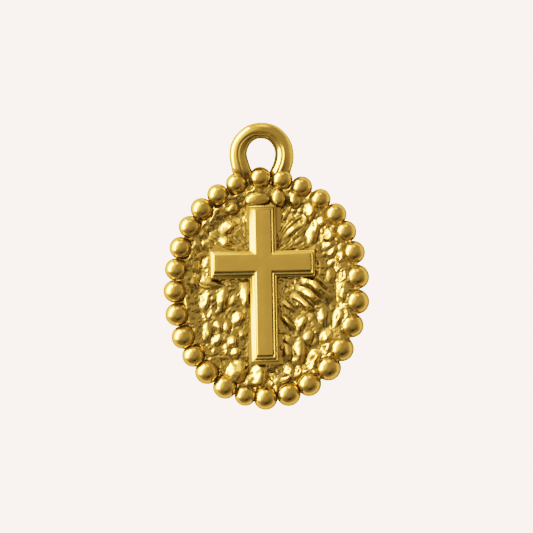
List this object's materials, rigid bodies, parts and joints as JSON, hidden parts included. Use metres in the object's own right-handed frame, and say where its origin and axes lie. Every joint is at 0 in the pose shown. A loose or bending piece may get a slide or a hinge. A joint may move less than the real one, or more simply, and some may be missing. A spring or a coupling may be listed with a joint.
{
  "type": "cross medallion charm",
  "caption": "Oval cast medallion charm with a beaded rim, a hammered ground, a plain Latin cross in relief and a fixed ring bail.",
  "frame": {"origin": "on the flat back, under the middle of the oval rim", "axes": "+Z out of the face, +Y towards the bail, +X to the right as the face is seen"},
  "size_m": [0.0147, 0.0205, 0.002],
  "materials": {
    "gold": "polished yellow gold plate over cast brass"
  },
  "bodies": {
    "root": {"charm": "gold"}
  },
  "joints": []
}
